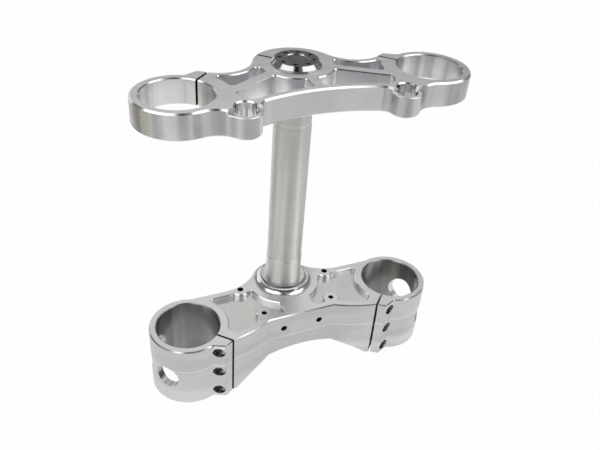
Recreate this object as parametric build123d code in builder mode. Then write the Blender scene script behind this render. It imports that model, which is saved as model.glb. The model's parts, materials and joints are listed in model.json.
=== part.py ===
from build123d import *
import os
from math import atan2, cos, degrees, hypot, radians, sin, sqrt

os.makedirs("parts", exist_ok=True)

# Motorcycle triple clamp: upper and lower fork clamps joined by a steering stem.
# The steering axis is the Z axis, Z = 0 is the shoulder under the lower bearing and the front faces -Y.
# All sizes are in millimetres.

# Steering geometry
fork_spacing = 210.0          # between the two fork tubes
fork_offset = 32.5            # fork tubes ahead of the steering axis
clamp_gap = 204.0             # clear height between the clamps

# Fork rings
upper_bore_r = 27.0
upper_ring_wall = 7.0
lower_bore_r = 28.5
lower_ring_wall = 6.5
slit_width = 2.0
slit_angle = 45.0             # slit direction, inwards from the fork line
slit_reach = 45.4             # fork axis to the mouth of the slit
ear_drop = 1.6                # mouth of the slit to the ear corner, along the slit
ear_width = 9.1               # slit to the ear corner
ear_root = 13.5               # slit to the point where the ear meets the ring
ear_corner_r = 2.5
ear_root_r = 4.0

# Pinch screws
screw_r = 3.0
upper_screw_length = 14.0
lower_screw_length = 20.0
stem_screw_length = 25.0
screw_head_r = 5.0
screw_head_height = 4.0
screw_hex = 4.0               # across the flats
screw_hex_depth = 2.4
screw_edge = 0.4              # chamfer on the head
screw_hole_play = 0.3         # radial play of shank and head in their holes
screw_seat = 4.8              # slit to the seat of the head
upper_screw_gap = 1.6         # outside of the ring to the screw axis, along the slit
lower_screw_gap = 2.6
screw_hole_spare = 1.2        # tapped depth past the screw's end
lower_screw_pitch = 24.0
lower_screw_count = 3

# Upper clamp
upper_thickness = 21.0
upper_edge = 1.3              # chamfer on the top and bottom edges
bore_edge = 0.9
stem_boss_r = 36.0
stem_boss_blend = 21.5        # angle on the boss where the back scoop starts
stem_slit_angle = 135.0
stem_slit_width = 2.2
stem_screw_drop = 10.5        # outside of the boss to the stem screw axis
stem_screw_seat = 10.0
front_y = 52.0                # steering axis to the middle of the front edge
front_r = 160.0
pad_x = 65.0                  # round pads on the front edge
pad_y = 64.8
pad_r = 12.2
pad_drop = 4.0                # front half of the pad below the top face
pad_step_half = 14.0          # half width of that step
pad_edge = 0.4                # chamfer on that front half
pad_bore_r = 8.0
pad_bore_edge = 1.0
pad_ring_blend = 20.0
pad_front_blend = 9.0
pocket_depth = 14.0
pocket_rim = 6.2
pocket_edge = 0.8
pocket_corner_r = 2.6
pocket_stem_land = 31.6       # steering axis to the pocket walls
pocket_fork_land = 40.4       # fork axis to the pocket walls
pocket_pad_land = 5.2         # wall behind the pad bore
centre_rib = 9.4
side_rib = 9.4
side_rib_angle = 31.0
side_rib_shift = 2.2          # rib line behind the steering axis

# Lower clamp
lower_height = 65.5
lower_edge = 1.0
lower_boss_r = 30.5
lower_back_y = 0.6            # back edge of the bridge behind the steering axis
lower_scoop_r = 45.0
lower_front_y = 51.6
lower_front_half = 32.8       # half of the flat middle of the front face
lower_front_r = 130.0
lower_root_r = 6.0
arch_rise = 25.0
arch_gap = 0.5                # arch foot to the fork ring
lower_pocket_depth = 5.0
lower_pocket_rim = 7.0
lower_pocket_stem_land = 35.5
lower_pocket_fork_land = 36.8
lower_pocket_inner_x = 15.5
lower_pocket_slit_land = 11.0
lower_pocket_corner_r = 2.2
tap_land = 8.0
back_tap_x = 45.0
back_tap_y = 1.9
back_tap_r = 3.0
front_tap_x = 34.5
front_tap_y = 40.5
front_tap_r = 2.5
tap_depth = 16.0
face_tap_x = 18.2
face_tap_drop = 15.0
face_tap_r = 3.0
window_height = 30.5
front_window_r = 11.5
front_window_angle = 40.0
back_window_r = 15.0
back_window_angle = 22.0
seat_boss_r = 22.0
seat_boss_height = 8.0
seat_boss_blend = 7.2

# Steering stem and its nut
stem_r = 16.5
stem_press_r = 17.5           # pressed into the lower clamp
stem_seat_r = 17.0            # lower bearing seat
stem_top_r = 16.0             # upper bearing seat
stem_neck_r = 15.0            # inside the upper clamp
stem_bore_r = 11.0
stem_seat_length = 25.0
stem_top_length = 29.0
stem_step = 2.5               # length of the cone below the upper seat
stem_foot = 2.0               # stem end above the crown of the arch
stem_neck_drop = 2.5          # stem end below the top of the upper clamp
stem_edge = 1.0
nut_r = 20.8
nut_face_r = 18.0
nut_flange = 1.0
nut_height = 4.1
nut_shank = 28.0
nut_pin_count = 8
nut_pin_circle = 14.0
nut_pin_turn = 18.0           # first pin hole from the X axis
nut_pin_r = 1.7
nut_pin_depth = 3.0
nut_dish_r = 9.5
nut_dish_depth = 0.7

# Derived places
fork_x = fork_spacing / 2
upper_ring_r = upper_bore_r + upper_ring_wall
lower_ring_r = lower_bore_r + lower_ring_wall
lower_top = -seat_boss_height
lower_base = lower_top - lower_height
upper_base = lower_top + clamp_gap
upper_top = upper_base + upper_thickness
pad_step = upper_top - pad_drop
screw_hole_r = screw_r + screw_hole_play
screw_cup_r = screw_head_r + screw_hole_play
upper_screw_along = upper_ring_r + upper_screw_gap
lower_screw_along = lower_ring_r + lower_screw_gap
ear_reach = slit_reach - ear_drop
stem_screw_radius = stem_boss_r - stem_screw_drop
cut_margin = 30.0             # cutters pass this far beyond the metal

back = 1
front = -1
sides = (1, -1)


def fork_point(along, across, way):
    """Point measured from the right fork axis along its slit and across to the slit's outer side."""
    a = radians(slit_angle)
    x = fork_x - along * cos(a) + across * sin(a)
    y = -fork_offset + way * (along * sin(a) + across * cos(a))
    return (x, y)


def toward(centre, point, distance):
    """Point at a distance from the centre in the direction of another point."""
    dx = point[0] - centre[0]
    dy = point[1] - centre[1]
    share = distance / hypot(dx, dy)
    return (centre[0] + dx * share, centre[1] + dy * share)


def blend_centre(centre_a, reach_a, centre_b, reach_b, side):
    """Centre of a blend at given reaches from two circles, left (1) or right (-1) of the line from a to b."""
    dx = centre_b[0] - centre_a[0]
    dy = centre_b[1] - centre_a[1]
    apart = hypot(dx, dy)
    foot = (reach_a**2 - reach_b**2 + apart**2) / (2 * apart)
    rise = side * sqrt(reach_a**2 - foot**2)
    return (centre_a[0] + (foot * dx - rise * dy) / apart, centre_a[1] + (foot * dy + rise * dx) / apart)


def arc_round(centre, start, end, turn):
    """Arc about a centre, counterclockwise (1) or clockwise (-1)."""
    first = degrees(atan2(start[1] - centre[1], start[0] - centre[0]))
    last = degrees(atan2(end[1] - centre[1], end[0] - centre[0]))
    sweep = turn * ((turn * (last - first)) % 360)
    return CenterArc(centre, hypot(start[0] - centre[0], start[1] - centre[1]), first, sweep)


def ring_root(ring_r, way):
    """Point where the ear meets the fork ring."""
    return fork_point(sqrt(ring_r**2 - ear_root**2), ear_root, way)


def screw_plane(along, way, side, height):
    """Plane across a fork pinch screw, on the middle of the slit, facing the screw head."""
    x, y = fork_point(along, 0, way)
    a = radians(slit_angle)
    return Plane((side * x, y, height), z_dir=(side * sin(a), way * cos(a), 0))


def cut_round(plane, radius, start, end):
    """Round hole along a plane's normal, between two distances from the plane."""
    with BuildSketch(plane.offset(start)) as hole:
        Circle(radius)
    extrude(hole.sketch, amount=end - start, mode=Mode.SUBTRACT)


def cut_screw_hole(plane, seat, length):
    """Tapped hole, clearance hole and head counterbore of one pinch screw."""
    cut_round(plane, screw_r, seat - length - screw_hole_spare, 0)
    cut_round(plane, screw_hole_r, 0, seat)
    cut_round(plane, screw_cup_r, seat, seat + cut_margin)


def cut_fork_slit(way, side, base, height):
    """Slit from a fork bore to its mouth, through the full height of the ring."""
    turn = way * (90 + side * (90 - slit_angle))
    with BuildSketch(Plane.XY.offset(base)) as slit:
        with Locations((side * fork_x, -fork_offset)):
            Rectangle(slit_reach + cut_margin, slit_width, rotation=turn, align=(Align.MIN, Align.CENTER))
    extrude(slit.sketch, amount=height, mode=Mode.SUBTRACT)


def make_screws(planes, seat, length):
    """Socket head screws with their seats at a distance from the given planes."""
    for plane in planes:
        with BuildSketch(plane.offset(seat)) as shank:
            Circle(screw_r)
        extrude(shank.sketch, amount=-length)
        with BuildSketch(plane.offset(seat)) as head:
            Circle(screw_head_r)
        extrude(head.sketch, amount=screw_head_height - screw_edge)
        with BuildSketch(plane.offset(seat + screw_head_height - screw_edge)) as rim:
            Circle(screw_head_r)
        extrude(rim.sketch, amount=screw_edge, taper=45)
        with BuildSketch(plane.offset(seat + screw_head_height)) as socket:
            RegularPolygon(screw_hex / 2, 6, major_radius=False)
        extrude(socket.sketch, amount=-screw_hex_depth, mode=Mode.SUBTRACT)


fork_axis = (fork_x, -fork_offset)
stem_axis = (0.0, 0.0)
upper_screw_height = upper_base + upper_thickness / 2
lower_screw_middle = lower_base + lower_height / 2
lower_screw_heights = [
    lower_screw_middle + (i - (lower_screw_count - 1) / 2) * lower_screw_pitch for i in range(lower_screw_count)
]
upper_screw_planes = [screw_plane(upper_screw_along, back, side, upper_screw_height) for side in sides]
lower_screw_planes = [
    screw_plane(lower_screw_along, front, side, height) for side in sides for height in lower_screw_heights
]

# The stem screw crosses the stem slit at right angles, with its head towards the back.
slit_dir = (cos(radians(stem_slit_angle)), sin(radians(stem_slit_angle)))
stem_screw_plane = Plane(
    (stem_screw_radius * slit_dir[0], stem_screw_radius * slit_dir[1], upper_screw_height),
    z_dir=(slit_dir[1], -slit_dir[0], 0),
)

# Outline of the upper clamp, right half, from the back of the stem boss to the middle of the front edge
blend_dir = (cos(radians(stem_boss_blend)), sin(radians(stem_boss_blend)))
boss_end = (stem_boss_r * blend_dir[0], stem_boss_r * blend_dir[1])
upper_mouth = fork_point(slit_reach, 0, back)
mouth_dx = upper_mouth[0] - boss_end[0]
mouth_dy = upper_mouth[1] - boss_end[1]
scoop_r = (mouth_dx**2 + mouth_dy**2) / (2 * (mouth_dx * blend_dir[0] + mouth_dy * blend_dir[1]))
scoop_centre = ((stem_boss_r + scoop_r) * blend_dir[0], (stem_boss_r + scoop_r) * blend_dir[1])
upper_ear = fork_point(ear_reach, ear_width, back)
upper_root = ring_root(upper_ring_r, back)
pad_centre = (pad_x, -pad_y)
front_centre = (0.0, -front_y - front_r)
ring_blend = blend_centre(fork_axis, upper_ring_r + pad_ring_blend, pad_centre, pad_r + pad_ring_blend, 1)
front_blend = blend_centre(pad_centre, pad_r + pad_front_blend, front_centre, front_r - pad_front_blend, -1)
ring_end = toward(fork_axis, ring_blend, upper_ring_r)
pad_start = toward(pad_centre, ring_blend, pad_r)
pad_end = toward(pad_centre, front_blend, pad_r)
front_start = toward(front_centre, front_blend, front_r)

with BuildSketch(Plane.XY.offset(upper_base)) as upper_outline:
    with BuildLine():
        arc_round(stem_axis, (0, stem_boss_r), boss_end, -1)
        arc_round(scoop_centre, boss_end, upper_mouth, 1)
        Polyline(upper_mouth, upper_ear, upper_root)
        arc_round(fork_axis, upper_root, ring_end, -1)
        arc_round(ring_blend, ring_end, pad_start, 1)
        arc_round(pad_centre, pad_start, pad_end, -1)
        arc_round(front_blend, pad_end, front_start, 1)
        arc_round(front_centre, front_start, (0, -front_y), 1)
        mirror(about=Plane.YZ)
    make_face()
    for side in sides:
        ear_point = (side * upper_ear[0], upper_ear[1], upper_base)
        fillet(upper_outline.vertices().sort_by_distance(ear_point)[0], ear_corner_r)
        root_point = (side * upper_root[0], upper_root[1], upper_base)
        fillet(upper_outline.vertices().sort_by_distance(root_point)[0], ear_root_r)

with BuildSketch(Plane.XY.offset(upper_top)) as upper_pockets:
    rib_dir = (cos(radians(side_rib_angle)), -sin(radians(side_rib_angle)))
    for way, end_x, corner in ((back, fork_x, scoop_centre), (front, pad_x, front_centre)):
        # The rib edge that bounds this pocket runs outwards from beside the stem.
        shift = side_rib_shift + way * side_rib / 2
        near = (-shift * rib_dir[1], shift * rib_dir[0])
        far = (end_x, near[1] + (end_x - near[0]) * rib_dir[1] / rib_dir[0])
        with BuildLine():
            Polyline(near, far, corner, close=True)
        make_face()
    Circle(pocket_stem_land, mode=Mode.SUBTRACT)
    with Locations(fork_axis):
        Circle(pocket_fork_land, mode=Mode.SUBTRACT)
    with Locations(scoop_centre):
        Circle(scoop_r + pocket_rim, mode=Mode.SUBTRACT)
    with Locations(front_centre):
        Circle(front_r + pocket_rim, mode=Mode.SUBTRACT)
    with Locations(pad_centre):
        Circle(pad_bore_r + pocket_pad_land, mode=Mode.SUBTRACT)
    Rectangle(centre_rib, 4 * front_y, mode=Mode.SUBTRACT)
    offset(amount=-pocket_corner_r)
    offset(amount=pocket_corner_r)
    mirror(about=Plane.YZ)

with BuildPart() as upper_clamp:
    extrude(upper_outline.sketch, amount=upper_thickness)
    rims = upper_clamp.faces().sort_by(Axis.Z)
    chamfer(rims[0].edges() + rims[-1].edges(), upper_edge)
    with Locations((fork_x, -fork_offset, upper_top), (-fork_x, -fork_offset, upper_top)):
        Hole(upper_bore_r)
    bore_rims = upper_clamp.edges().filter_by(GeomType.CIRCLE)
    chamfer(bore_rims.filter_by(lambda e: abs(e.radius - upper_bore_r) < 0.001), bore_edge)
    with Locations((0, 0, upper_top)):
        Hole(stem_neck_r)
    with BuildSketch(Plane.XY.offset(upper_top)):
        with Locations((pad_x, -pad_y), (-pad_x, -pad_y)):
            Rectangle(2 * pad_step_half, cut_margin, align=(Align.CENTER, Align.MAX))
    extrude(amount=-pad_drop, mode=Mode.SUBTRACT)
    step_rims = upper_clamp.edges().filter_by_position(Axis.Z, pad_step, pad_step).filter_by(GeomType.CIRCLE)
    chamfer(step_rims.filter_by(lambda e: abs(e.radius - pad_r) < 0.001), pad_edge)
    with BuildSketch(Plane.XY.offset(upper_top)):
        with Locations((pad_x, -pad_y), (-pad_x, -pad_y)):
            Circle(pad_bore_r + pad_bore_edge)
    extrude(amount=-pad_bore_edge, taper=45, mode=Mode.SUBTRACT)
    with BuildSketch(Plane.XY.offset(pad_step)):
        # The front half of the bore's edge lies at the step.
        with Locations((pad_x, -pad_y), (-pad_x, -pad_y)):
            Circle(pad_bore_r + pad_bore_edge)
            Rectangle(cut_margin, cut_margin, align=(Align.CENTER, Align.MAX), mode=Mode.INTERSECT)
    extrude(amount=-pad_bore_edge, taper=45, mode=Mode.SUBTRACT)
    with BuildSketch(Plane.XY.offset(upper_base)):
        with Locations((pad_x, -pad_y), (-pad_x, -pad_y)):
            Circle(pad_bore_r + pad_bore_edge)
    extrude(amount=pad_bore_edge, taper=45, mode=Mode.SUBTRACT)
    with Locations((pad_x, -pad_y, upper_top), (-pad_x, -pad_y, upper_top)):
        Hole(pad_bore_r)
    extrude(upper_pockets.sketch, amount=-pocket_depth, mode=Mode.SUBTRACT)
    with BuildSketch(Plane.XY.offset(upper_top)):
        add(upper_pockets.sketch_local)
        offset(amount=pocket_edge)
    extrude(amount=-pocket_edge, taper=45, mode=Mode.SUBTRACT)
    for side in sides:
        cut_fork_slit(back, side, upper_base, upper_thickness)
    for plane in upper_screw_planes:
        cut_screw_hole(plane, screw_seat, upper_screw_length)
    with BuildSketch(Plane.XY.offset(upper_base)):
        Rectangle(
            stem_boss_r + cut_margin,
            stem_slit_width,
            rotation=stem_slit_angle,
            align=(Align.MIN, Align.CENTER),
        )
    extrude(amount=upper_thickness, mode=Mode.SUBTRACT)
    cut_screw_hole(stem_screw_plane, stem_screw_seat, stem_screw_length)
upper_clamp.part.label = "upper_clamp"
export_step(upper_clamp.part, "parts/upper_clamp.step")

# Outline of the lower clamp, right half, from the back of the stem boss to the middle of the front face
lower_scoop_y = lower_back_y + lower_scoop_r
lower_scoop = (sqrt((lower_boss_r + lower_scoop_r)**2 - lower_scoop_y**2), lower_scoop_y)
lower_boss_end = toward(stem_axis, lower_scoop, lower_boss_r)
lower_scoop_end = (lower_scoop[0], lower_back_y)
back_root = (fork_x - sqrt(lower_ring_r**2 - (lower_back_y + fork_offset)**2), lower_back_y)
lower_root = ring_root(lower_ring_r, front)
lower_ear = fork_point(ear_reach, ear_width, front)
lower_mouth = fork_point(slit_reach, 0, front)
front_corner = (lower_front_half, -lower_front_y)

with BuildSketch(Plane.XY.offset(lower_base)) as lower_outline:
    with BuildLine():
        arc_round(stem_axis, (0, lower_boss_r), lower_boss_end, -1)
        arc_round(lower_scoop, lower_boss_end, lower_scoop_end, 1)
        Line(lower_scoop_end, back_root)
        arc_round(fork_axis, back_root, lower_root, -1)
        Polyline(lower_root, lower_ear, lower_mouth)
        RadiusArc(lower_mouth, front_corner, lower_front_r)
        Line(front_corner, (0, -lower_front_y))
        mirror(about=Plane.YZ)
    make_face()
    for side in sides:
        for point, radius in ((lower_ear, ear_corner_r), (lower_root, ear_root_r), (back_root, lower_root_r)):
            corner_point = (side * point[0], point[1], lower_base)
            fillet(lower_outline.vertices().sort_by_distance(corner_point)[0], radius)

with BuildSketch(Plane.XY.offset(lower_top)) as lower_pockets:
    add(lower_outline.sketch_local)
    offset(amount=-lower_pocket_rim)
    Circle(lower_pocket_stem_land, mode=Mode.SUBTRACT)
    Rectangle(2 * lower_pocket_inner_x, 4 * lower_front_y, mode=Mode.SUBTRACT)
    with Locations((back_tap_x, -back_tap_y), (-back_tap_x, -back_tap_y)):
        Circle(tap_land, mode=Mode.SUBTRACT)
    with Locations((front_tap_x, -front_tap_y), (-front_tap_x, -front_tap_y)):
        Circle(tap_land, mode=Mode.SUBTRACT)
    for side in sides:
        with Locations((side * fork_x, -fork_offset)):
            Circle(lower_pocket_fork_land, mode=Mode.SUBTRACT)
            Rectangle(
                2 * (slit_reach + cut_margin),
                2 * lower_pocket_slit_land,
                rotation=side * slit_angle,
                mode=Mode.SUBTRACT,
            )
    offset(amount=-lower_pocket_corner_r)
    offset(amount=2 * lower_pocket_corner_r)
    offset(amount=-lower_pocket_corner_r)

arch_half = fork_x - lower_ring_r - arch_gap
arch_r = (arch_half**2 + arch_rise**2) / (2 * arch_rise)

with BuildPart() as lower_clamp:
    extrude(lower_outline.sketch, amount=lower_height)
    rims = lower_clamp.faces().sort_by(Axis.Z)
    chamfer(rims[0].edges() + rims[-1].edges(), lower_edge)
    with Locations((fork_x, -fork_offset, lower_top), (-fork_x, -fork_offset, lower_top)):
        Hole(lower_bore_r)
    bore_rims = lower_clamp.edges().filter_by(GeomType.CIRCLE)
    chamfer(bore_rims.filter_by(lambda e: abs(e.radius - lower_bore_r) < 0.001), bore_edge)
    with BuildSketch(Plane.XZ):
        with Locations((0, lower_base + arch_rise - arch_r)):
            Circle(arch_r)
    extrude(amount=2 * fork_x, both=True, mode=Mode.SUBTRACT)
    extrude(lower_pockets.sketch, amount=-lower_pocket_depth, mode=Mode.SUBTRACT)
    with BuildSketch(Plane.XY.offset(lower_top)):
        add(lower_pockets.sketch_local)
        offset(amount=pocket_edge)
    extrude(amount=-pocket_edge, taper=45, mode=Mode.SUBTRACT)
    with BuildSketch(Plane.XZ):
        with BuildLine():
            Polyline((0, lower_top), (0, 0), (seat_boss_r, 0))
            RadiusArc((seat_boss_r, 0), (seat_boss_r + seat_boss_blend, lower_top), -seat_boss_height)
            Line((seat_boss_r + seat_boss_blend, lower_top), (0, lower_top))
        make_face()
    revolve(axis=Axis.Z)
    with Locations((0, 0, 0)):
        Hole(stem_press_r)
    with Locations((back_tap_x, -back_tap_y, lower_top), (-back_tap_x, -back_tap_y, lower_top)):
        Hole(back_tap_r, tap_depth)
    with Locations((front_tap_x, -front_tap_y, lower_top), (-front_tap_x, -front_tap_y, lower_top)):
        Hole(front_tap_r, tap_depth)
    for side in sides:
        face_place = (side * face_tap_x, -lower_front_y, lower_top - face_tap_drop)
        cut_round(Plane(face_place, z_dir=(0, -1, 0)), face_tap_r, -tap_depth, 0)
        for radius, angle in ((front_window_r, -front_window_angle), (back_window_r, back_window_angle)):
            window_dir = (side * cos(radians(angle)), sin(radians(angle)), 0)
            window_plane = Plane((side * fork_x, -fork_offset, lower_base + window_height), z_dir=window_dir)
            cut_round(window_plane, radius, 0, lower_ring_r + cut_margin)
        cut_fork_slit(front, side, lower_base, lower_height)
    for plane in lower_screw_planes:
        cut_screw_hole(plane, screw_seat, lower_screw_length)
lower_clamp.part.label = "lower_clamp"
export_step(lower_clamp.part, "parts/lower_clamp.step")

foot_z = lower_base + arch_rise + stem_foot
top_seat = upper_base - stem_top_length
neck_end = upper_top - stem_neck_drop

with BuildPart() as steering_stem:
    with BuildSketch(Plane.XZ):
        with BuildLine():
            Polyline(
                (stem_bore_r, foot_z),
                (stem_press_r - stem_edge, foot_z),
                (stem_press_r, foot_z + stem_edge),
                (stem_press_r, 0),
                (stem_seat_r, 0),
                (stem_seat_r, stem_seat_length),
                (stem_r, stem_seat_length + stem_seat_r - stem_r),
                (stem_r, top_seat - stem_step),
                (stem_top_r, top_seat),
                (stem_top_r, upper_base),
                (stem_neck_r, upper_base),
                (stem_neck_r, neck_end - stem_edge),
                (stem_neck_r - stem_edge, neck_end),
                (stem_bore_r, neck_end),
                close=True,
            )
        make_face()
    revolve(axis=Axis.Z)
steering_stem.part.label = "steering_stem"
export_step(steering_stem.part, "parts/steering_stem.step")

nut_top = upper_top + nut_height

with BuildPart() as stem_nut:
    with BuildSketch(Plane.XZ):
        with BuildLine():
            Polyline(
                (0, upper_top - nut_shank),
                (stem_bore_r - stem_edge, upper_top - nut_shank),
                (stem_bore_r, upper_top - nut_shank + stem_edge),
                (stem_bore_r, upper_top),
                (nut_r, upper_top),
                (nut_r, upper_top + nut_flange),
                (nut_face_r, nut_top),
                (nut_dish_r + nut_dish_depth, nut_top),
                (nut_dish_r, nut_top - nut_dish_depth),
                (0, nut_top - nut_dish_depth),
                close=True,
            )
        make_face()
    revolve(axis=Axis.Z)
    with Locations((0, 0, nut_top)):
        with PolarLocations(nut_pin_circle, nut_pin_count, start_angle=nut_pin_turn):
            Hole(nut_pin_r, nut_pin_depth)
stem_nut.part.label = "stem_nut"
export_step(stem_nut.part, "parts/stem_nut.step")

with BuildPart() as upper_fork_screws:
    make_screws(upper_screw_planes, screw_seat, upper_screw_length)
upper_fork_screws.part.label = "upper_fork_screws"
export_step(upper_fork_screws.part, "parts/upper_fork_screws.step")

with BuildPart() as lower_fork_screws:
    make_screws(lower_screw_planes, screw_seat, lower_screw_length)
lower_fork_screws.part.label = "lower_fork_screws"
export_step(lower_fork_screws.part, "parts/lower_fork_screws.step")

with BuildPart() as stem_pinch_screw:
    make_screws([stem_screw_plane], stem_screw_seat, stem_screw_length)
stem_pinch_screw.part.label = "stem_pinch_screw"
export_step(stem_pinch_screw.part, "parts/stem_pinch_screw.step")
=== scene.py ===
import json
import math
import bmesh
import bpy
from mathutils import Matrix, Vector


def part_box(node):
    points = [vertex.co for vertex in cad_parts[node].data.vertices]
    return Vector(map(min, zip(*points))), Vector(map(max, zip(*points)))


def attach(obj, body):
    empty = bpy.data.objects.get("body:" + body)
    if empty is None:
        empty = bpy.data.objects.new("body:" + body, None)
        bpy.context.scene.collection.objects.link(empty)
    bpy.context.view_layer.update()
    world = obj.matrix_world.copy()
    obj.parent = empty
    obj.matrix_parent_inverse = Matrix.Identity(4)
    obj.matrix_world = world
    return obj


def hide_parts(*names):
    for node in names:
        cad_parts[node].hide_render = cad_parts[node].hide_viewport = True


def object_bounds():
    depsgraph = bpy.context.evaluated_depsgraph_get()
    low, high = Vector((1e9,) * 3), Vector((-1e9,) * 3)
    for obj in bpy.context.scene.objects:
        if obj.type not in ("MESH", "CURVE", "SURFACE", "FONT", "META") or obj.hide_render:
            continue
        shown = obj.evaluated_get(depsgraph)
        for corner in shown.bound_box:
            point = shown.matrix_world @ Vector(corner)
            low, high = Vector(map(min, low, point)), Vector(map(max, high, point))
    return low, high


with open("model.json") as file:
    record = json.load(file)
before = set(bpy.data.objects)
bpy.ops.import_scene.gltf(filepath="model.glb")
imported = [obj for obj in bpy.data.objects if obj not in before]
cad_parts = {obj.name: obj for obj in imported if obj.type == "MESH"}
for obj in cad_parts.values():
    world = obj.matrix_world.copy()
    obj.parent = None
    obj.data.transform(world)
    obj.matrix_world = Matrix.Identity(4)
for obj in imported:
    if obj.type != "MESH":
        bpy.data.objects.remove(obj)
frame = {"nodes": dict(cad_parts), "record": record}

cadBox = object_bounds()
mounts = {mount["name"]: mount for mount in frame["record"]["mounts"]}
mm = 0.001
print("frame loaded:", len(frame["nodes"]), "nodes")


# shader node helpers

def newGroup(name, inputs, outputs):
    group = bpy.data.node_groups.new(name, "ShaderNodeTree")
    for label, kind, value in inputs:
        socket = group.interface.new_socket(label, in_out="INPUT", socket_type="NodeSocket" + kind)
        socket.default_value = value
    for label, kind in outputs:
        group.interface.new_socket(label, in_out="OUTPUT", socket_type="NodeSocket" + kind)
    return group, group.nodes.new("NodeGroupInput"), group.nodes.new("NodeGroupOutput")


def addNode(tree, kind, values=None, **settings):
    node = tree.nodes.new("ShaderNode" + kind)
    for key, value in settings.items():
        setattr(node, key, value)
    for key, value in (values or {}).items():
        if isinstance(value, bpy.types.NodeSocket):
            tree.links.new(value, node.inputs[key])
        else:
            node.inputs[key].default_value = value
    return node


def addMath(tree, operation, *terms):
    return addNode(tree, "Math", dict(enumerate(terms)), operation=operation).outputs[0]


def addVector(tree, operation, values):
    return addNode(tree, "VectorMath", values, operation=operation).outputs[0]


def addRange(tree, value, fromLow, fromHigh, toLow, toHigh, smooth=False):
    values = {"Value": value, "From Min": fromLow, "From Max": fromHigh,
              "To Min": toLow, "To Max": toHigh}
    kind = "SMOOTHSTEP" if smooth else "LINEAR"
    return addNode(tree, "MapRange", values, interpolation_type=kind).outputs["Result"]


def addMix(tree, kind, factor, first, second, blending="MIX"):
    values = {"Factor": factor, "A": first, "B": second}
    return addNode(tree, "Mix", values, data_type=kind, blend_type=blending).outputs["Result"]


# tool marks and painted reflection streaks: noise drawn out along one direction, fine lines over broad bands;
# where a finish gives the broad bands a wide tone range, they are painted reflection streaks
markNoise = {"bend": 25.0, "fine": 10.0, "broad": 4.0, "low": 0.36, "high": 0.64}


def buildMarksAndReflectionStreaks():
    group, source, sink = newGroup(
        "marksAndReflectionStreaks",
        [("Vector", "Vector", (0, 0, 0)), ("Stretch", "Vector", (300, 300, 6)), ("Bands", "Float", 0.12),
         ("Wander", "Float", 0.0), ("Fine", "Float", 0.3)],
        [("Tone", "Float"), ("Height", "Float")])
    place, stretch = source.outputs["Vector"], source.outputs["Stretch"]
    bend = addNode(group, "TexNoise", {"Vector": place, "Scale": markNoise["bend"], "Detail": 1.0})
    shift = addVector(group, "SUBTRACT", {0: bend.outputs["Color"], 1: (0.5, 0.5, 0.5)})
    push = addVector(group, "SCALE", {0: shift, "Scale": source.outputs["Wander"]})
    drawn = addVector(group, "MULTIPLY", {0: addVector(group, "ADD", {0: place, 1: push}), 1: stretch})
    fine = addNode(group, "TexNoise", {"Vector": drawn, "Scale": markNoise["fine"], "Detail": 2.0,
                                       "Roughness": 0.6})
    wide = addVector(group, "SCALE", {0: drawn, "Scale": source.outputs["Bands"]})
    broad = addNode(group, "TexNoise", {"Vector": wide, "Scale": markNoise["broad"], "Detail": 1.0,
                                        "Roughness": 0.4})
    mixed = addMix(group, "FLOAT", source.outputs["Fine"], broad.outputs["Fac"], fine.outputs["Fac"])
    tone = addRange(group, mixed, markNoise["low"], markNoise["high"], 0.0, 1.0, True)
    group.links.new(tone, sink.inputs["Tone"])
    group.links.new(fine.outputs["Fac"], sink.inputs["Height"])
    return group


# handling marks: faint cloudy patches and a few finer specks
handlingNoise = {"cloud": 28.0, "gritTimes": 26.0, "cloudRange": (0.35, 0.65), "gritRange": (0.38, 0.62)}


def buildHandling():
    group, source, sink = newGroup(
        "handling",
        [("Vector", "Vector", (0, 0, 0)), ("Scale", "Float", handlingNoise["cloud"])],
        [("Patch", "Float"), ("Speck", "Float")])
    cloud = addNode(group, "TexNoise", {"Vector": source.outputs["Vector"], "Scale": source.outputs["Scale"],
                                        "Detail": 3.0, "Roughness": 0.55})
    fineScale = addMath(group, "MULTIPLY", source.outputs["Scale"], handlingNoise["gritTimes"])
    grit = addNode(group, "TexNoise", {"Vector": source.outputs["Vector"], "Scale": fineScale, "Detail": 2.0})
    patch = addRange(group, cloud.outputs["Fac"], *handlingNoise["cloudRange"], 0.0, 1.0, True)
    speck = addRange(group, grit.outputs["Fac"], *handlingNoise["gritRange"], 0.0, 1.0)
    group.links.new(patch, sink.inputs["Patch"])
    group.links.new(speck, sink.inputs["Speck"])
    return group


# a level mask: one inside a height band, with soft edges
def buildLevelBand():
    group, source, sink = newGroup(
        "levelBand",
        [("Vector", "Vector", (0, 0, 0)), ("Middle", "Float", 0.0), ("Half", "Float", 0.01),
         ("Soft", "Float", 0.001)],
        [("Mask", "Float")])
    height = addNode(group, "SeparateXYZ", {0: source.outputs["Vector"]}).outputs["Z"]
    away = addMath(group, "ABSOLUTE", addMath(group, "SUBTRACT", height, source.outputs["Middle"]))
    edge = addMath(group, "SUBTRACT", away, source.outputs["Half"])
    group.links.new(addRange(group, edge, 0.0, source.outputs["Soft"], 1.0, 0.0, True), sink.inputs["Mask"])
    return group


marksAndReflectionStreaks = buildMarksAndReflectionStreaks()
handling = buildHandling()
levelBand = buildLevelBand()
print("tool mark groups ready")
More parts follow.
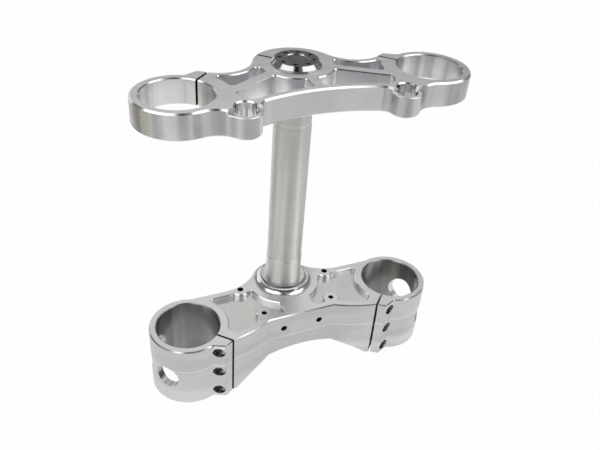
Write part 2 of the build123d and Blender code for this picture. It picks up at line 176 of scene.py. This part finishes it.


# finishes, each a pair of tones with tool marks, patches and a bump; some tones are painted reflection,
# painted highlight or painted shade, noted at each
finishes = {
    "satinTop": {"dark": (0.72, 0.725, 0.735), "light": (0.80, 0.805, 0.815), "rough": (0.32, 0.38),
                 "stretch": (26, 420, 60), "bands": 0.10, "wander": 0.002, "fine": 0.5, "bump": 0.02},
    "pocketFloor": {"dark": (0.72, 0.72, 0.705), "light": (0.84, 0.84, 0.82), "rough": (0.36, 0.46),
                    "stretch": (120, 190, 60), "bands": 0.16, "wander": 0.012, "fine": 0.4, "bump": 0.06},
    # milled outer walls: the wide dark-to-light vertical bands are milling marks and painted reflection
    # streaks
    "milledWallWithReflectionStreaks": {"dark": (0.36, 0.36, 0.365), "light": (0.68, 0.68, 0.675), "rough": (0.22, 0.30),
                   "stretch": (30, 30, 0.4), "bands": 1.0, "wander": 0.0, "fine": 0.18, "bump": 0.005},
    "plainWall": {"dark": (0.50, 0.50, 0.505), "light": (0.61, 0.61, 0.605), "rough": (0.24, 0.32),
                  "stretch": (20, 20, 0.4), "bands": 0.6, "wander": 0.0, "fine": 0.1, "bump": 0.005},
    # ring walls: the level at 40.5 mm is a painted highlight line at the parting step, the one near the foot
    # a lighter zone of painted floor reflection
    "ringWall": {"dark": (0.54, 0.54, 0.54), "light": (0.64, 0.64, 0.635), "rough": (0.24, 0.32),
                 "stretch": (24, 24, 160), "bands": 0.12, "wander": 0.004, "fine": 0.15, "bump": 0.01,
                 "levels": ({"above": 40.5 * mm, "half": 0.25 * mm, "soft": 1.2 * mm, "tone": 1.2},
                            {"above": 4 * mm, "half": 8 * mm, "soft": 8 * mm, "tone": 1.16})},
    # lower fork bore walls: tones kept dark as painted shade inside the bores
    "boredWallShade": {"dark": (0.25, 0.25, 0.245), "light": (0.43, 0.43, 0.41), "rough": (0.24, 0.32),
                  "stretch": (30, 30, 0.6), "bands": 0.7, "wander": 0.0, "fine": 0.15, "bump": 0.01},
    # upper fork bores: the vertical light and dark bands are honing marks and painted reflection stripes
    "honedBoreWithReflectionBands": {"dark": (0.40, 0.40, 0.405), "light": (0.86, 0.86, 0.86), "rough": (0.30, 0.36),
                  "stretch": (30, 30, 0.5), "bands": 0.9, "wander": 0.0, "fine": 0.08, "bump": 0.005},
    "windowWall": {"dark": (0.74, 0.74, 0.74), "light": (0.84, 0.84, 0.84), "rough": (0.30, 0.38),
                   "stretch": (200, 200, 200), "bands": 0.12, "wander": 0.0, "fine": 0.3, "bump": 0.02},
    "brightEdge": {"dark": (0.66, 0.66, 0.665), "light": (0.74, 0.74, 0.745), "rough": (0.16, 0.24),
                   "stretch": (160, 160, 40), "bands": 0.14, "wander": 0.0, "fine": 0.3, "bump": 0.02},
    # seat top: its rings are painted shade lines near the boss edge
    "seatTop": {"dark": (0.66, 0.665, 0.67), "light": (0.74, 0.745, 0.75), "rough": (0.26, 0.34),
                "stretch": (60, 60, 300), "bands": 0.14, "wander": 0.0, "fine": 0.3, "bump": 0.01,
                "rings": ({"radius": 21.7 * mm, "half": 0.3 * mm, "soft": 0.3 * mm, "tone": 0.35},
                          {"radius": 19.6 * mm, "half": 0.15 * mm, "soft": 0.3 * mm, "tone": 0.6})},
    "pocketStep": {"dark": (0.74, 0.745, 0.755), "light": (0.88, 0.885, 0.895), "rough": (0.16, 0.24),
                   "stretch": (240, 240, 4), "bands": 0.10, "wander": 0.0, "fine": 0.10, "bump": 0.01},
    "pocketWall": {"dark": (0.80, 0.81, 0.83), "light": (0.92, 0.93, 0.95), "rough": (0.32, 0.42),
                   "stretch": (240, 240, 4), "bands": 0.10, "wander": 0.0, "fine": 0.10, "bump": 0.01},
    "pocketBase": {"dark": (0.84, 0.84, 0.82), "light": (0.93, 0.93, 0.91), "rough": (0.36, 0.48),
                   "stretch": (120, 190, 60), "bands": 0.16, "wander": 0.012, "fine": 0.3, "bump": 0.04},
    # pad bores: the strong vertical light and dark bands are painted reflection stripes on a polished wall
    "mirrorBoreWithReflectionBands": {"dark": (0.50, 0.50, 0.505), "light": (0.97, 0.975, 0.98), "rough": (0.05, 0.10),
                   "stretch": (52, 52, 0.5), "bands": 1.0, "wander": 0.0, "fine": 0.10, "bump": 0.01},
    # flare: its ring is a painted shade line at the boss edge
    "polishedFlare": {"dark": (0.76, 0.765, 0.77), "light": (0.86, 0.865, 0.87), "rough": (0.13, 0.19),
                      "stretch": (60, 60, 300), "bands": 0.14, "wander": 0.0, "fine": 0.3, "bump": 0.01,
                      "rings": ({"radius": 22.0 * mm, "half": 0.1 * mm, "soft": 0.2 * mm, "tone": 0.4},)},
    # near-black, non-metal: painted shade in the clamp slits, tapped holes and nut pin holes
    "gapShade": {"dark": (0.012, 0.012, 0.012), "light": (0.03, 0.03, 0.03), "rough": (0.5, 0.7),
                "stretch": (200, 200, 6), "bands": 0.12, "wander": 0.0, "fine": 0.3, "bump": 0.05},
    # screw counterbores: dark tones as painted shade in the recesses
    "cupShade": {"dark": (0.14, 0.14, 0.14), "light": (0.24, 0.24, 0.24), "rough": (0.30, 0.42),
                "stretch": (200, 200, 200), "bands": 0.12, "wander": 0.0, "fine": 0.3, "bump": 0.05},
    # stem levels: a painted lighter zone over the lower bearing seat, a painted highlight line at the upper
    # seat's edge, and painted shade under the upper clamp
    "turnedStem": {"dark": (0.82, 0.81, 0.78), "light": (0.90, 0.89, 0.86), "rough": (0.43, 0.48),
                   "stretch": (5, 5, 460), "bands": 0.08, "wander": 0.0, "fine": 0.35, "bump": 0.03,
                   "spread": 1.0,
                   "levels": ({"above": 86.5 * mm, "half": 13 * mm, "soft": 1 * mm, "tone": 1.09},
                              {"above": 240.5 * mm, "half": 0.9 * mm, "soft": 0.8 * mm, "tone": 1.1},
                              {"above": 257 * mm, "half": 14 * mm, "soft": 1 * mm, "tone": 0.94})},
    "nutChrome": {"dark": (0.46, 0.452, 0.445), "light": (0.54, 0.532, 0.525), "rough": (0.10, 0.15),
                  "stretch": (120, 120, 120), "bands": 0.2, "wander": 0.0, "fine": 0.3, "bump": 0.01},
    "screwSteel": {"dark": (0.34, 0.34, 0.34), "light": (0.48, 0.48, 0.48), "rough": (0.22, 0.32),
                   "stretch": (220, 220, 220), "bands": 0.2, "wander": 0.0, "fine": 0.4, "bump": 0.04},
}
markDepth = 0.04 * mm
wear = {"patchInTone": 0.3, "markInTone": 0.7, "speckInRough": 0.4, "markInRough": 0.6}
alongTurning = 0.25  # turns the stretched highlight along the stem
footLevel = cadBox[0][2]


def addTone(tree, mask, color, tone):
    return addMix(tree, "RGBA", mask, color, (tone, tone, tone, 1), "MULTIPLY")


# lighter and darker zones at one height: painted highlight, painted reflection and painted shade on the ring
# walls and the stem
def addPaintedLightLevel(tree, place, color, level):
    values = {"Vector": place, "Middle": footLevel + level["above"],
              "Half": level["half"], "Soft": level["soft"]}
    band = addNode(tree, "Group", values, node_tree=levelBand)
    return addTone(tree, band.outputs["Mask"], color, level["tone"])


# dark rings round the steering axis: painted shade along the edge of the stem boss, on its top and at the top
# of the flare
def addPaintedShadeRing(tree, place, color, ring):
    flat = addVector(tree, "MULTIPLY", {0: place, 1: (1, 1, 0)})
    reach = addNode(tree, "VectorMath", {0: flat}, operation="LENGTH")
    away = addMath(tree, "SUBTRACT", reach.outputs["Value"], ring["radius"])
    edge = addMath(tree, "SUBTRACT", addMath(tree, "ABSOLUTE", away), ring["half"])
    mask = addRange(tree, edge, 0.0, ring["soft"], 1.0, 0.0, True)
    return addTone(tree, mask, color, ring["tone"])


def makeFinish(name):
    look = finishes[name]
    material = bpy.data.materials.new(name)
    material.use_nodes = True
    tree = material.node_tree
    shader = tree.nodes["Principled BSDF"]
    shader.inputs["Metallic"].default_value = 0.0 if name == "gapShade" else 1.0
    if "spread" in look:
        shader.inputs["Anisotropic"].default_value = look["spread"]
        shader.inputs["Anisotropic Rotation"].default_value = alongTurning
    place = addNode(tree, "TexCoord").outputs["Object"]
    marks = addNode(tree, "Group", {"Vector": place}, node_tree=marksAndReflectionStreaks)
    for label in ("Stretch", "Bands", "Wander", "Fine"):
        marks.inputs[label].default_value = look[label.lower()]
    touch = addNode(tree, "Group", {"Vector": place}, node_tree=handling)
    fade = addMath(tree, "MULTIPLY", marks.outputs["Tone"], wear["markInTone"])
    worn = addMath(tree, "MULTIPLY_ADD", touch.outputs["Patch"], wear["patchInTone"], fade)
    color = addMix(tree, "RGBA", worn, (*look["dark"], 1), (*look["light"], 1))
    for level in look.get("levels", ()):
        color = addPaintedLightLevel(tree, place, color, level)
    for ring in look.get("rings", ()):
        color = addPaintedShadeRing(tree, place, color, ring)
    tree.links.new(color, shader.inputs["Base Color"])
    grain = addMath(tree, "MULTIPLY", marks.outputs["Tone"], wear["markInRough"])
    rough = addMath(tree, "MULTIPLY_ADD", touch.outputs["Speck"], wear["speckInRough"], grain)
    tree.links.new(addRange(tree, rough, 0.0, 1.0, *look["rough"]), shader.inputs["Roughness"])
    bump = addNode(tree, "Bump", {"Strength": look["bump"], "Distance": markDepth,
                                  "Height": marks.outputs["Height"]})
    tree.links.new(bump.outputs["Normal"], shader.inputs["Normal"])
    return material


materials = {name: makeFinish(name) for name in finishes}
print("finishes ready:", len(materials))


def addPiece(name, shape):
    mesh = bpy.data.meshes.new(name)
    shape.to_mesh(mesh)
    shape.free()
    piece = bpy.data.objects.new(name, mesh)
    bpy.context.scene.collection.objects.link(piece)
    return piece


# a merged copy of a CAD node, whose faces can take different finishes
copying = {"mergeWithin": 0.002 * mm, "sliver": 0.001 * mm, "sharpFrom": math.radians(24)}
tilt = {"flat": 0.95, "edge": 0.3, "across": 0.9}  # limits on the parts of a face's normal


def copyNode(node, name, order, finishOf):
    shape = bmesh.new()
    shape.from_mesh(frame["nodes"][node].data)
    bmesh.ops.remove_doubles(shape, verts=shape.verts, dist=copying["mergeWithin"])
    bmesh.ops.dissolve_degenerate(shape, edges=shape.edges, dist=copying["sliver"])
    for face in shape.faces:
        face.smooth = True
        face.material_index = order.index(finishOf(face))
    piece = addPiece(name, shape)
    mesh = piece.data
    looseNormals = mesh.attributes.get("custom_normal")
    if looseNormals is not None:
        mesh.attributes.remove(looseNormals)  # they belong to the triangles before merging
    mesh.set_sharp_from_angle(angle=copying["sharpFrom"])
    for finish in order:
        mesh.materials.append(materials[finish])
    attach(piece, "root")
    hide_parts(node)
    return piece


def flatDistance(point, axis):
    return math.hypot(point.x - axis[0], point.y - axis[1])


def lowestOf(face):
    return min(corner.co.z for corner in face.verts)


# the clamping slits, open to the back above and to the front below, and the counterbores of their screws
slits = {"angle": math.radians(45), "half": 1.1 * mm, "upperWay": 1, "lowerWay": -1,
         "stemAngle": math.radians(135), "stemHalf": 1.2 * mm}
cups = {"reach": 5.5 * mm, "seat": 4.7 * mm, "pitch": 24 * mm, "upperAlong": 35.6 * mm,
        "lowerAlong": 37.6 * mm, "stemAlong": 25.5 * mm, "stemSeat": 9.9 * mm}


def slitFrame(side, way):
    turn = slits["angle"]
    across = Vector((side * math.sin(turn), way * math.cos(turn), 0))
    along = Vector((-side * math.cos(turn), way * math.sin(turn), 0))
    return across, along


def forkAxis(side):
    return Vector(mounts["upper_fork_right" if side > 0 else "upper_fork_left"]["pos_m"])


def inForkSlit(point, normal, way):
    for side in (1, -1):
        across, along = slitFrame(side, way)
        away = point - forkAxis(side)
        inGap = abs(away.dot(across)) < slits["half"] and away.dot(along) > 0
        if inGap and abs(normal.dot(across)) > tilt["across"]:
            return True
    return False


def inScrewCup(point, way, reach, heights):
    for side in (1, -1):
        across, along = slitFrame(side, way)
        away = point - forkAxis(side)
        for height in heights:
            fromAxis = math.hypot(away.dot(along) - reach, point.z - height)
            if away.dot(across) > cups["seat"] and fromAxis < cups["reach"]:
                return True
    return False


# upper clamp: satin faces, outer walls banded with milling marks and painted reflection streaks, bright
# chamfers, light pockets, and polished pad bores with painted reflection bands; slits and screw counterbores
# painted dark as shade
upperClamp = {"pocketDepth": 14 * mm, "boreReach": 27.5 * mm, "padReach": 8.8 * mm, "landReach": 13 * mm,
              "landDrop": 2 * mm, "frontFrom": -20 * mm, "frontHalf": 48 * mm, "floorDrop": 5 * mm,
              "edgeSlack": 0.5 * mm}
upperLow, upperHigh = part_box("upper_clamp")
upperMiddle = (upperLow.z + upperHigh.z) / 2


def stemSlitFrame():
    turn = slits["stemAngle"]
    across = Vector((math.sin(turn), -math.cos(turn), 0))
    along = Vector((math.cos(turn), math.sin(turn), 0))
    return across, along


def inStemSlit(point, normal):
    across = stemSlitFrame()[0]
    return abs(point.dot(across)) < slits["stemHalf"] and abs(normal.dot(across)) > tilt["across"]


def inStemCup(point):
    across, along = stemSlitFrame()
    fromAxis = math.hypot(point.dot(along) - cups["stemAlong"], point.z - upperMiddle)
    return point.dot(across) > cups["stemSeat"] and fromAxis < cups["reach"]


def upperFinish(face):
    normal = face.normal
    point = face.calc_center_median()
    way = slits["upperWay"]
    # slit walls and screw counterbores take dark finishes as painted shade
    if inForkSlit(point, normal, way) or inStemSlit(point, normal):
        return "gapShade"
    if inScrewCup(point, way, cups["upperAlong"], [upperMiddle]) or inStemCup(point):
        return "cupShade"
    for name in ("pad_bore_left", "pad_bore_right"):
        reach = flatDistance(point, mounts[name]["pos_m"])
        if reach < upperClamp["padReach"] and abs(normal.z) < tilt["edge"]:
            return "mirrorBoreWithReflectionBands"
        lowered = point.z < upperHigh.z - upperClamp["landDrop"]
        if reach < upperClamp["landReach"] and normal.z > tilt["edge"] and lowered:
            return "satinTop"
    if abs(normal.z) > tilt["flat"]:
        sunk = point.z < upperHigh.z - upperClamp["floorDrop"]
        return "pocketBase" if sunk and normal.z > 0 else "satinTop"
    if abs(normal.z) > tilt["edge"]:
        return "brightEdge"
    for name in ("upper_fork_left", "upper_fork_right"):
        if flatDistance(point, mounts[name]["pos_m"]) < upperClamp["boreReach"]:
            return "honedBoreWithReflectionBands"
    if lowestOf(face) > upperHigh.z - upperClamp["pocketDepth"] - upperClamp["edgeSlack"]:
        return "pocketWall"
    atFront = point.y < upperClamp["frontFrom"] and abs(point.x) < upperClamp["frontHalf"]
    return "plainWall" if atFront else "milledWallWithReflectionStreaks"


upperPiece = copyNode(
    "upper_clamp", "upperClampBody",
    ["satinTop", "milledWallWithReflectionStreaks", "plainWall", "honedBoreWithReflectionBands", "brightEdge", "pocketWall", "mirrorBoreWithReflectionBands",
     "pocketBase", "gapShade", "cupShade"],
    upperFinish)
print("upper clamp:", len(upperPiece.data.polygons), "faces")


# lower clamp: tall rings, tool-marked pockets and a polished flare under the stem; bores, slits, tapped holes
# and screw counterbores painted dark as shade
lowerClamp = {"boreReach": 29.6 * mm, "pocketDepth": 5 * mm, "floorDrop": 1 * mm, "seatHeight": 8 * mm,
              "seatRise": 0.05 * mm, "flareReach": 27.2 * mm, "stemReach": 20 * mm, "edgeSlack": 0.5 * mm}
lowerLow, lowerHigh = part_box("lower_clamp")
bridgeTop = lowerHigh.z - lowerClamp["seatHeight"]
screwHeights = [(lowerLow.z + bridgeTop) / 2 + i * cups["pitch"] for i in (-1, 0, 1)]


def tapPlaces():
    places = []
    for name in ("rear_top_taps", "front_top_taps", "front_face_taps"):
        spread = mounts[name]["dims"]["spacing_x_mm"] * mm / 2
        middle = Vector(mounts[name]["pos_m"])
        for side in (1, -1):
            places.append((middle + Vector((side * spread, 0, 0)), Vector(mounts[name]["axis"]),
                           mounts[name]["dims"]["hole_r_mm"] * mm))
    return places


taps = tapPlaces()
tapCut = {"depth": 17 * mm, "mouthSlack": 0.1 * mm, "wallSlack": 0.2 * mm, "rim": 0.05 * mm}
windows = {"height": 30.5 * mm, "round": ((11.5 * mm, -40), (15 * mm, 22)), "slack": 0.2 * mm}


def inTap(point):
    for mouth, axis, radius in taps:
        away = point - mouth
        depth = -away.dot(axis)
        fromAxis = (away + axis * depth).length
        if -tapCut["mouthSlack"] < depth < tapCut["depth"] and fromAxis < radius + tapCut["wallSlack"]:
            return depth > tapCut["rim"]
    return False


def inWindow(point, normal):
    for side in (1, -1):
        middle = forkAxis(side)
        middle.z = lowerLow.z + windows["height"]
        for reach, angle in windows["round"]:
            turn = math.radians(angle)
            ahead = Vector((side * math.cos(turn), math.sin(turn), 0))
            away = point - middle
            depth = away.dot(ahead)
            fromAxis = (away - ahead * depth).length
            if depth > 0 and fromAxis < reach + windows["slack"] and abs(normal.dot(ahead)) < tilt["edge"]:
                return True
    return False


def lowerFinish(face):
    normal = face.normal
    point = face.calc_center_median()
    way = slits["lowerWay"]
    # slit walls, tapped holes and screw counterbores take dark finishes as painted shade
    if inForkSlit(point, normal, way) or inTap(point):
        return "gapShade"
    if inScrewCup(point, way, cups["lowerAlong"], screwHeights):
        return "cupShade"
    if inWindow(point, normal):
        return "windowWall"
    stemDistance = math.hypot(point.x, point.y)
    if point.z > bridgeTop + lowerClamp["seatRise"]:
        if stemDistance > lowerClamp["flareReach"]:
            return "satinTop"
        return "seatTop" if normal.z > tilt["flat"] else "polishedFlare"
    if normal.z > tilt["flat"]:
        return "pocketFloor" if point.z < bridgeTop - lowerClamp["floorDrop"] else "satinTop"
    if normal.z < -tilt["edge"]:
        return "satinTop"
    # bore walls take the dark finish, painted shade inside the bores
    for name in ("lower_fork_left", "lower_fork_right"):
        if flatDistance(point, mounts[name]["pos_m"]) < lowerClamp["boreReach"]:
            return "boredWallShade"
    if abs(normal.z) > tilt["edge"]:
        return "brightEdge"
    pocketLevel = bridgeTop - lowerClamp["pocketDepth"] - lowerClamp["edgeSlack"]
    if lowestOf(face) > pocketLevel and stemDistance > lowerClamp["stemReach"]:
        return "pocketStep"
    return "ringWall"


lowerPiece = copyNode(
    "lower_clamp", "lowerClampBody",
    ["satinTop", "ringWall", "boredWallShade", "brightEdge", "pocketStep", "polishedFlare", "pocketFloor",
     "gapShade", "cupShade", "windowWall", "seatTop"],
    lowerFinish)
print("lower clamp:", len(lowerPiece.data.polygons), "faces")


# stem nut: polished, with pin holes painted near-black as shade
stemNut = {"pinCircle": 14 * mm, "pinReach": 1.9 * mm, "pinCount": 8, "pinTurn": math.radians(18),
           "pinDepth": 3.2 * mm, "rim": 0.05 * mm}
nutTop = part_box("stem_nut")[1].z


def nutFinish(face):
    point = face.calc_center_median()
    for i in range(stemNut["pinCount"]):
        angle = stemNut["pinTurn"] + 2 * math.pi * i / stemNut["pinCount"]
        pin = (stemNut["pinCircle"] * math.cos(angle), stemNut["pinCircle"] * math.sin(angle))
        deep = nutTop - point.z
        if flatDistance(point, pin) < stemNut["pinReach"] and stemNut["rim"] < deep < stemNut["pinDepth"]:
            return "gapShade"
    return "nutChrome"


nutPiece = copyNode("stem_nut", "stemNutBody", ["nutChrome", "gapShade"], nutFinish)


# CAD nodes that keep their own mesh
for node, finish in (("steering_stem", "turnedStem"), ("upper_fork_screws", "screwSteel"),
                     ("lower_fork_screws", "screwSteel"), ("stem_pinch_screw", "screwSteel")):
    mesh = frame["nodes"][node].data
    if not mesh.materials:
        mesh.materials.append(materials[finish])
    for i in range(len(mesh.materials)):
        mesh.materials[i] = materials[finish]
print("nut, stem and screws finished")


# floor and world: white to the camera, bright in the metal, and a soft grey light on the object
stage = {"floorHalf": 3.0, "floorColor": (0.86, 0.86, 0.86), "whiteShare": 0.97, "metalShare": 0.55,
         "worldLight": 0.5}


def bareMaterial(name):
    material = bpy.data.materials.new(name)
    material.use_nodes = True
    tree = material.node_tree
    tree.nodes.remove(tree.nodes["Principled BSDF"])
    return material, tree


def makeFloor():
    shape = bmesh.new()
    bmesh.ops.create_grid(shape, x_segments=2, y_segments=2, size=stage["floorHalf"])
    bmesh.ops.translate(shape, verts=shape.verts, vec=(0, 0, cadBox[0][2]))
    floor = addPiece("floor", shape)
    material, tree = bareMaterial("palePaper")
    paper = addNode(tree, "BsdfDiffuse", {"Color": (*stage["floorColor"], 1)})
    glow = addNode(tree, "Emission", {"Color": (1, 1, 1, 1), "Strength": 1.0})
    path = addNode(tree, "LightPath")
    inMetal = addMath(tree, "MAXIMUM", path.outputs["Is Glossy Ray"], path.outputs["Is Transmission Ray"])
    toCamera = addMath(tree, "MULTIPLY", path.outputs["Is Camera Ray"], stage["whiteShare"])
    share = addMath(tree, "MAXIMUM", toCamera, addMath(tree, "MULTIPLY", inMetal, stage["metalShare"]))
    blend = addNode(tree, "MixShader", {0: share, 1: paper.outputs[0], 2: glow.outputs[0]})
    tree.links.new(blend.outputs[0], tree.nodes["Material Output"].inputs["Surface"])
    floor.data.materials.append(material)


# studio cards that only the metal's reflections see: a grey ceiling, a dark room and a warm wall
cards = {
    "ceiling": {"at": (0, 0, 1.25), "half": (2.4, 2.4), "color": (0.22, 0.22, 0.22)},
    "frontCard": {"at": (-0.3, -1.7, 0.62), "half": (1.6, 0.40), "color": (0.06, 0.06, 0.065)},
    "cameraCard": {"at": (-0.22, -0.54, 1.02), "half": (0.15, 0.36), "color": (0.02, 0.02, 0.02)},
    "leftCard": {"at": (-2.0, 0.0, 0.60), "half": (1.8, 0.40), "color": (0.16, 0.16, 0.165)},
    "rightCard": {"at": (2.0, 0.0, 0.60), "half": (1.8, 0.40), "color": (0.22, 0.22, 0.22)},
    "backCard": {"at": (0.40, 1.38, 0.66), "half": (1.12, 0.26), "color": (0.16, 0.16, 0.16)},
    "warmCard": {"at": (-0.55, 0.19, -0.02), "half": (0.35, 0.06), "color": (0.46, 0.43, 0.36)},
}
studioAim = Vector((0, 0, 0.05))


def makeCards():
    for name, card in cards.items():
        shape = bmesh.new()
        bmesh.ops.create_grid(shape, x_segments=1, y_segments=1, size=1)
        bmesh.ops.scale(shape, verts=shape.verts, vec=(*card["half"], 1))
        turn = (studioAim - Vector(card["at"])).to_track_quat("Z", "Y").to_matrix()
        bmesh.ops.rotate(shape, verts=shape.verts, matrix=turn)
        bmesh.ops.translate(shape, verts=shape.verts, vec=card["at"])
        piece = addPiece(name, shape)
        material, tree = bareMaterial(name)
        glow = addNode(tree, "Emission", {"Color": (*card["color"], 1), "Strength": 1.0})
        tree.links.new(glow.outputs[0], tree.nodes["Material Output"].inputs["Surface"])
        piece.data.materials.append(material)
        for kind in ("camera", "diffuse", "transmission", "volume_scatter", "shadow"):
            setattr(piece, "visible_" + kind, False)


def makeWorld():
    world = bpy.data.worlds.new("studio")
    bpy.context.scene.world = world
    world.use_nodes = True
    tree = world.node_tree
    path = addNode(tree, "LightPath")
    seen = addMath(tree, "MAXIMUM", path.outputs["Is Camera Ray"], path.outputs["Is Glossy Ray"])
    seen = addMath(tree, "MAXIMUM", seen, path.outputs["Is Transmission Ray"])
    grey = stage["worldLight"]
    light = addMix(tree, "RGBA", seen, (grey, grey, grey, 1), (1, 1, 1, 1))
    tree.links.new(light, tree.nodes["Background"].inputs["Color"])


makeFloor()
makeCards()
makeWorld()


# lamps: a soft box at the front right, one at the front left and a wide one behind
lamps = {
    "keyBox": {"at": (0.59, -0.38, 0.86), "size": (0.82, 0.70), "power": 3.3},
    "leftBox": {"at": (-0.61, -0.22, 0.83), "size": (0.96, 0.66), "power": 3.3},
    "backBox": {"at": (0.35, 0.95, 1.05), "size": (1.20, 0.60), "power": 1.9},
}
for name, lamp in lamps.items():
    light = bpy.data.lights.new(name, "AREA")
    light.shape = "RECTANGLE"
    light.size, light.size_y = lamp["size"]
    light.energy = lamp["power"]
    holder = bpy.data.objects.new(name, light)
    bpy.context.scene.collection.objects.link(holder)
    holder.location = lamp["at"]
    holder.rotation_euler = (studioAim - Vector(lamp["at"])).to_track_quat("-Z", "Y").to_euler()
print("stage and lamps ready")


# camera, fitted to the photograph
camera = {"at": (-0.20345, -0.45526, 0.41047), "yaw": -25.59, "pitch": -35.17, "roll": 4.56, "lens": 38.91,
          "sensor": 36.0, "near": 0.01}


def makeCamera():
    yaw, pitch, roll = (math.radians(camera[key]) for key in ("yaw", "pitch", "roll"))
    ahead = Vector((-math.sin(yaw) * math.cos(pitch), math.cos(yaw) * math.cos(pitch), math.sin(pitch)))
    right = ahead.cross(Vector((0, 0, 1))).normalized()
    up = right.cross(ahead)
    turnedRight = right * math.cos(roll) + up * math.sin(roll)
    turnedUp = up * math.cos(roll) - right * math.sin(roll)
    data = bpy.data.cameras.new("camera")
    data.sensor_fit = "HORIZONTAL"
    data.sensor_width = camera["sensor"]
    data.lens = camera["lens"]
    data.clip_start = camera["near"]
    holder = bpy.data.objects.new("camera", data)
    bpy.context.scene.collection.objects.link(holder)
    turn = Matrix((turnedRight, turnedUp, -ahead)).transposed()
    holder.matrix_world = Matrix.Translation(Vector(camera["at"])) @ turn.to_4x4()
    bpy.context.scene.camera = holder


makeCamera()
bpy.context.scene.view_settings.view_transform = "Standard"
